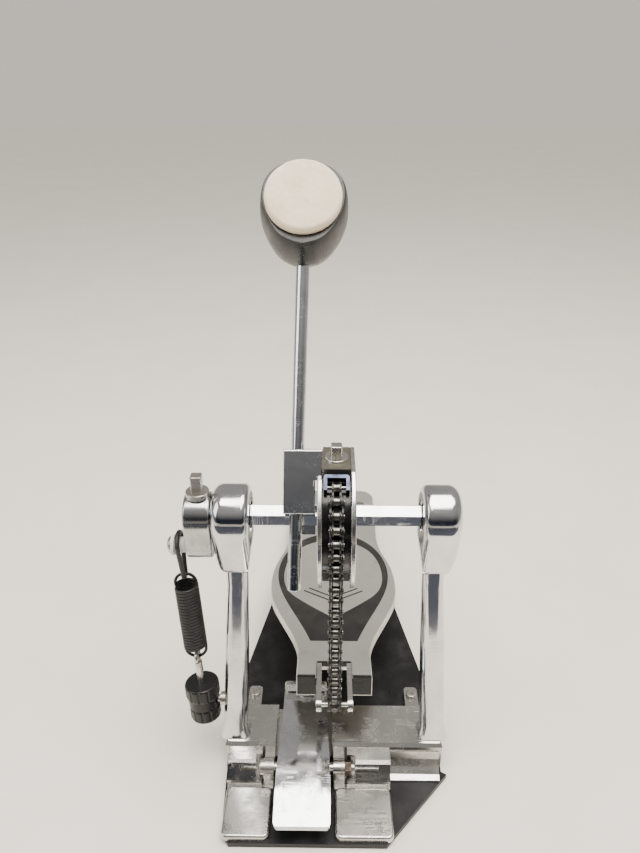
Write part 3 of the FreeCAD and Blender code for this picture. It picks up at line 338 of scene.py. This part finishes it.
def board_charcoal():
    surface = Surface("board_charcoal", (0.036, 0.034, 0.032), 0.6, Specular_IOR_Level=0.3)
    broad = surface.noise(45.0, 6.0, 0.65)
    surface.color(surface.mix(surface.span(broad, 0.35, 0.75), (0.014, 0.0135, 0.013),
                              (0.032, 0.030, 0.028)))
    surface.rough(surface.span(broad, 0.3, 0.7, 0.46, 0.68))
    surface.bump(surface.cells(1400.0), 0.45, 0.07)
    return surface


def gloss_black(name="gloss_black", rough_range=(0.16, 0.34), peel=0.04):
    surface = Surface(name, (0.012, 0.012, 0.014), rough_range[0], Specular_IOR_Level=0.4)
    dust = surface.noise(110.0, 6.0, 0.7)
    surface.color(surface.mix(surface.span(dust, 0.5, 0.82), (0.006, 0.006, 0.007),
                              (0.022, 0.021, 0.020)))
    lines = surface.hairlines(500.0, 0, 0.03, (0.2, 0.4, 0.7))
    base = surface.span(dust, 0.35, 0.75, rough_range[0], rough_range[1])
    surface.rough(surface.calc("ADD", base, surface.calc("MULTIPLY", lines, 0.2)))
    surface.bump(surface.noise(260.0, 2.0), 0.35, peel)
    return surface


def shell_black():
    return gloss_black("shell_black", (0.24, 0.40), 0.05)


def knob_black():
    return gloss_black("knob_black", (0.26, 0.44), 0.03)


def nylon():
    surface = Surface("nylon", (0.78, 0.77, 0.74), 0.42, Subsurface_Weight=0.08)
    tone = surface.noise(300.0, 4.0)
    surface.color(surface.mix(surface.span(tone, 0.35, 0.75), (0.80, 0.79, 0.76),
                              (0.64, 0.62, 0.57)))
    surface.rough(surface.span(tone, 0.3, 0.7, 0.34, 0.52))
    surface.bump(surface.noise(900.0, 2.0), 0.2, 0.03)
    return surface


def felt():
    """Pressed wool felt: matted fibres, warm mottling and a scuffed face."""
    surface = Surface("felt", (0.84, 0.80, 0.70), 0.94, Sheen_Weight=0.35, Sheen_Roughness=0.5)
    blotch = surface.noise(70.0, 6.0, 0.6)
    tone = surface.mix(surface.span(blotch, 0.35, 0.72), (0.88, 0.76, 0.57), (0.78, 0.64, 0.45))
    scuff = surface.span(surface.noise(160.0, 5.0, 0.7, warp=1.0), 0.63, 0.78, 0.0, 0.5)
    surface.color(surface.mix(scuff, tone, (0.60, 0.54, 0.43)))
    fibre_a = surface.noise(1500.0, 3.0, 0.7, (1.0, 1.0, 0.18), (0.0, 0.5, 0.0), 1.5)
    fibre_b = surface.noise(1500.0, 3.0, 0.7, (0.18, 1.0, 1.0), (0.0, -0.4, 0.0), 1.5)
    surface.bump(surface.calc("MAXIMUM", fibre_a, fibre_b), 0.75, 0.22)
    surface.bump(blotch, 0.6, 0.35)
    return surface


MAKERS = [cast_aluminium, polished_casting, chrome, fastener_steel, bearing_steel, dark_nut,
          cam_steel, olive_cast, clip_steel, rocker_steel, brass_bush, chain_bright, chain_black,
          spring_black, black_steel, rubber_mat, board_silver, board_charcoal, gloss_black,
          shell_black, knob_black, nylon, felt]
surfaces = {maker.__name__: maker().material for maker in MAKERS}
slot_of = {row["node"]: row["material_slot"] for row in frame["record"]["subparts"]}


def paint(obj, slot_name):
    obj.data.materials.clear()
    obj.data.materials.append(surfaces[slot_name])


for node_name, node in nodes.items():
    paint(node, slot_of[node_name])


# --------------------------------------------------------------- geometry kit
def add_mesh(name, verts, faces, slot_name):
    mesh = bpy.data.meshes.new(name)
    mesh.from_pydata([tuple(v) for v in verts], [], faces)
    mesh.update()
    for polygon in mesh.polygons:
        polygon.use_smooth = True
    obj = bpy.data.objects.new(name, mesh)
    bpy.context.scene.collection.objects.link(obj)
    paint(obj, slot_name)
    return obj


def tube(path, radius, sides=10):
    """Vertices and faces of a round wire along a path, with closed ends."""
    verts = []
    faces = []
    up = Vector((0.0, 1.0, 0.0))
    for step, point in enumerate(path):
        ahead = path[min(step + 1, len(path) - 1)]
        behind = path[max(step - 1, 0)]
        along = (ahead - behind).normalized()
        side = along.cross(up)
        if side.length < 0.2:
            side = along.cross(Vector((0.0, 0.0, 1.0)))
        side.normalize()
        up = side.cross(along).normalized()
        for turn in range(sides):
            angle = 2 * math.pi * turn / sides
            verts.append(point + side * (radius * math.cos(angle)) + up * (radius * math.sin(angle)))
    for step in range(len(path) - 1):
        for turn in range(sides):
            a = step * sides + turn
            b = step * sides + (turn + 1) % sides
            faces.append((a, b, b + sides, a + sides))
    faces.append(tuple(reversed(range(sides))))
    faces.append(tuple(range(len(verts) - sides, len(verts))))
    return verts, faces


# ------------------------------------------------------------- return spring
def spring_frame():
    """Matrix from the spring's own axis frame to the row frame."""
    swing = joint_of["spring_swing"]["pos_m"]
    along = Vector(joint_of["spring_stretch"]["axis"]).normalized()
    side = Vector((1, 0, 0))
    side = (side - along * side.dot(along)).normalized()
    back = along.cross(side)
    matrix = Matrix((side, back, along)).transposed().to_4x4()
    matrix.translation = Vector(swing)
    return matrix


def make_spring():
    """Coil with an open round loop at each end."""
    coil_r = COIL_R * MM
    start = COIL_START * MM
    pitch = COIL_PITCH * MM
    coil = []
    for step in range(int(COIL_TURNS * COIL_STEPS) + 1):
        angle = 2 * math.pi * step / COIL_STEPS
        coil.append(Vector((coil_r * math.cos(angle), coil_r * math.sin(angle),
                            start + pitch * step / COIL_STEPS)))
    lower_centre = LOWER_HOOK * MM + coil_r
    upper_centre = SPRING_LENGTH * MM - UPPER_HOOK * MM - coil_r
    loops = []
    for centre, sign in ((lower_centre, -1), (upper_centre, 1)):
        loop = []
        for step in range(LOOP_STEPS + 1):
            angle = math.radians(-LOOP_GAP + LOOP_SWEEP * step / LOOP_STEPS)
            loop.append(Vector((coil_r * math.cos(angle), 0.0,
                                centre + sign * coil_r * math.sin(angle))))
        loops.append(loop)
    verts = []
    faces = []
    for path in [coil] + loops:
        part_verts, part_faces = tube(path, WIRE_R * MM)
        offset = len(verts)
        verts.extend(part_verts)
        faces.extend([tuple(i + offset for i in face) for face in part_faces])
    place = spring_frame()
    spring = add_mesh("return_spring_coil", [place @ v for v in verts], faces, "spring_black")
    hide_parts("return_spring")
    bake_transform(spring)
    return spring


make_spring()


# ------------------------------------------------------------- beater felt
def head_frame():
    """Matrix whose Z runs out of the felt's face, with its origin on that face."""
    face = [mount for mount in frame["record"]["mounts"] if mount["name"] == "strike_face"][0]
    out = Vector(face["axis"]).normalized()
    side = Vector((1, 0, 0))
    side = (side - out * side.dot(out)).normalized()
    matrix = Matrix((side, out.cross(side), out)).transposed().to_4x4()
    matrix.translation = Vector(face["pos_m"])
    return matrix


def felt_section():
    """Radius and height, in mm, from the middle of the face round to the back."""
    flat = FELT_R - FELT_EDGE
    shoulder = FELT_CROWN + FELT_EDGE
    section = []
    for step in range(1, FACE_RINGS + 1):
        reach = flat * step / FACE_RINGS
        section.append((reach, -FELT_CROWN * (reach / flat) ** 2))
    for step in range(1, SIDE_RINGS + 1):
        angle = math.radians(90 * step / SIDE_RINGS)
        section.append((flat + FELT_EDGE * math.sin(angle),
                        -FELT_CROWN - FELT_EDGE * (1 - math.cos(angle))))
    for step in range(1, SIDE_RINGS + 1):
        section.append((FELT_R, -shoulder - (FELT_DEPTH - shoulder) * step / SIDE_RINGS))
    return section


def make_felt_pad():
    """Crowned pad with an uneven nap, on the beater in place of the plain solid."""
    around = FELT_AROUND
    place = head_frame()
    section = felt_section()
    verts = [place @ Vector((0, 0, 0))]
    faces = []
    for reach, height in section:
        loose = 1.0 if height > FELT_LOOSE else 0.0
        for turn in range(around):
            angle = 2 * math.pi * turn / around
            point = Vector((reach * math.cos(angle), reach * math.sin(angle), height))
            nap = mnoise.noise(point * 1.6) * 0.14 + mnoise.noise(point * 0.35) * 0.22
            outward = Vector((point.x * 0.015, point.y * 0.015, 0.8)) * nap * loose
            verts.append(place @ ((point + outward) * MM))
    for turn in range(around):
        faces.append((0, 1 + turn, 1 + (turn + 1) % around))
    for ring in range(len(section) - 1):
        for turn in range(around):
            a = 1 + ring * around + turn
            b = 1 + ring * around + (turn + 1) % around
            faces.append((a, a + around, b + around, b))
    last = 1 + (len(section) - 1) * around
    faces.append(tuple(reversed(range(last, last + around))))
    pad = add_mesh("beater_felt_pad", verts, faces, "felt")
    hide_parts("beater_felt")
    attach(pad, "beater")
    return pad


make_felt_pad()


# ------------------------------------------------------------------- stage
def make_stage():
    mesh = bpy.data.meshes.new("floor")
    build = bmesh.new()
    bmesh.ops.create_circle(build, cap_ends=True, radius=6.0, segments=96)
    build.to_mesh(mesh)
    build.free()
    floor = bpy.data.objects.new("floor", mesh)
    floor.location.z = -0.0002
    bpy.context.scene.collection.objects.link(floor)
    surface = Surface("floor_paper", (0.78, 0.755, 0.72), 0.62)
    fibres = surface.noise(9.0, 5.0, 0.6)
    surface.color(surface.mix(surface.span(fibres, 0.3, 0.75), (0.90, 0.85, 0.765),
                              (0.86, 0.81, 0.725)))
    surface.bump(surface.noise(500.0, 4.0), 0.1, 0.05)
    mesh.materials.append(surface.material)


def make_dark_card():
    """Dark cloth on the floor in front, seen only in the polished metal."""
    corners = [(-0.7, -1.3, 0), (0.7, -1.3, 0), (0.7, -0.23, 0), (-0.7, -0.23, 0)]
    mesh = bpy.data.meshes.new("dark_card")
    mesh.from_pydata(corners, [], [(0, 1, 2, 3)])
    card = bpy.data.objects.new("dark_card", mesh)
    card.location.z = 0.0004
    bpy.context.scene.collection.objects.link(card)
    surface = Surface("dark_card", (0.03, 0.035, 0.05), 0.8)
    weave = surface.noise(40.0, 4.0)
    surface.color(surface.mix(weave, (0.02, 0.024, 0.036), (0.05, 0.055, 0.075)))
    mesh.materials.append(surface.material)
    card.visible_camera = False
    card.visible_diffuse = False
    card.visible_shadow = False


def make_world():
    """Plain pale to the camera; a dimmer room with a dark front in reflections."""
    world = bpy.data.worlds.new("studio")
    bpy.context.scene.world = world
    world.use_nodes = True
    tree = world.node_tree
    room = tree.nodes["Background"]
    coords = tree.nodes.new("ShaderNodeTexCoord")
    axes = tree.nodes.new("ShaderNodeSeparateXYZ")
    tree.links.new(coords.outputs["Generated"], axes.inputs["Vector"])
    ranges = []
    for axis, low, high, to_low, to_high in (("Y", -0.75, -0.15, 1.0, 0.0),
                                             ("Z", 0.25, 0.65, 1.0, 0.0)):
        span = tree.nodes.new("ShaderNodeMapRange")
        span.inputs["From Min"].default_value = low
        span.inputs["From Max"].default_value = high
        span.inputs["To Min"].default_value = to_low
        span.inputs["To Max"].default_value = to_high
        tree.links.new(axes.outputs[axis], span.inputs["Value"])
        ranges.append(span.outputs["Result"])
    front = tree.nodes.new("ShaderNodeMath")
    front.operation = "MULTIPLY"
    tree.links.new(ranges[0], front.inputs[0])
    tree.links.new(ranges[1], front.inputs[1])
    blend = tree.nodes.new("ShaderNodeMix")
    blend.data_type = "RGBA"
    tree.links.new(front.outputs["Value"], blend.inputs["Factor"])
    colours = [socket for socket in blend.inputs if socket.type == "RGBA"]
    colours[0].default_value = (0.97, 0.935, 0.87, 1.0)
    colours[1].default_value = (0.05, 0.06, 0.09, 1.0)
    mixed = [socket for socket in blend.outputs if socket.type == "RGBA"][0]
    tree.links.new(mixed, room.inputs["Color"])
    plain = tree.nodes.new("ShaderNodeBackground")
    plain.inputs["Color"].default_value = (0.56, 0.53, 0.47, 1.0)
    plain.inputs["Strength"].default_value = 1.25
    path = tree.nodes.new("ShaderNodeLightPath")
    dimmed = tree.nodes.new("ShaderNodeMapRange")
    dimmed.inputs["To Min"].default_value = 0.95
    dimmed.inputs["To Max"].default_value = 0.42
    tree.links.new(path.outputs["Is Glossy Ray"], dimmed.inputs["Value"])
    tree.links.new(dimmed.outputs["Result"], room.inputs["Strength"])
    chooser = tree.nodes.new("ShaderNodeMixShader")
    tree.links.new(path.outputs["Is Camera Ray"], chooser.inputs["Fac"])
    tree.links.new(room.outputs["Background"], chooser.inputs[1])
    tree.links.new(plain.outputs["Background"], chooser.inputs[2])
    tree.links.new(chooser.outputs["Shader"], tree.nodes["World Output"].inputs["Surface"])


def area_light(name, place, aim, size, power, tint=(1.0, 0.97, 0.93)):
    data = bpy.data.lights.new(name, "AREA")
    data.shape = "RECTANGLE"
    data.size = size[0]
    data.size_y = size[1]
    data.energy = power
    data.color = tint
    light = bpy.data.objects.new(name, data)
    light.location = place
    light.rotation_mode = "QUATERNION"
    light.rotation_quaternion = (Vector(aim) - Vector(place)).to_track_quat("-Z", "Y")
    bpy.context.scene.collection.objects.link(light)


def make_camera():
    data = bpy.data.cameras.new("camera")
    data.lens = 28.53
    data.sensor_width = 36.0
    data.sensor_fit = "AUTO"
    data.clip_start = 0.01
    data.clip_end = 50.0
    camera = bpy.data.objects.new("camera", data)
    turned = (Matrix.Rotation(math.radians(PITCH), 4, "X")
              @ Matrix.Rotation(math.radians(YAW), 4, "Y")
              @ Matrix.Rotation(math.radians(ROLL), 4, "Z"))
    camera.matrix_world = Matrix.Translation(EYE) @ turned
    bpy.context.scene.collection.objects.link(camera)
    bpy.context.scene.camera = camera


make_stage()
make_dark_card()
make_world()
area_light("top", (0.15, -0.10, 1.35), (0.0, 0.05, 0.1), (1.1, 0.8), 32.0, (1.0, 0.955, 0.89))
area_light("left", (-1.1, -0.4, 0.9), (0.0, 0.0, 0.15), (0.7, 0.9), 7.0, (0.95, 0.97, 1.0))
make_camera()
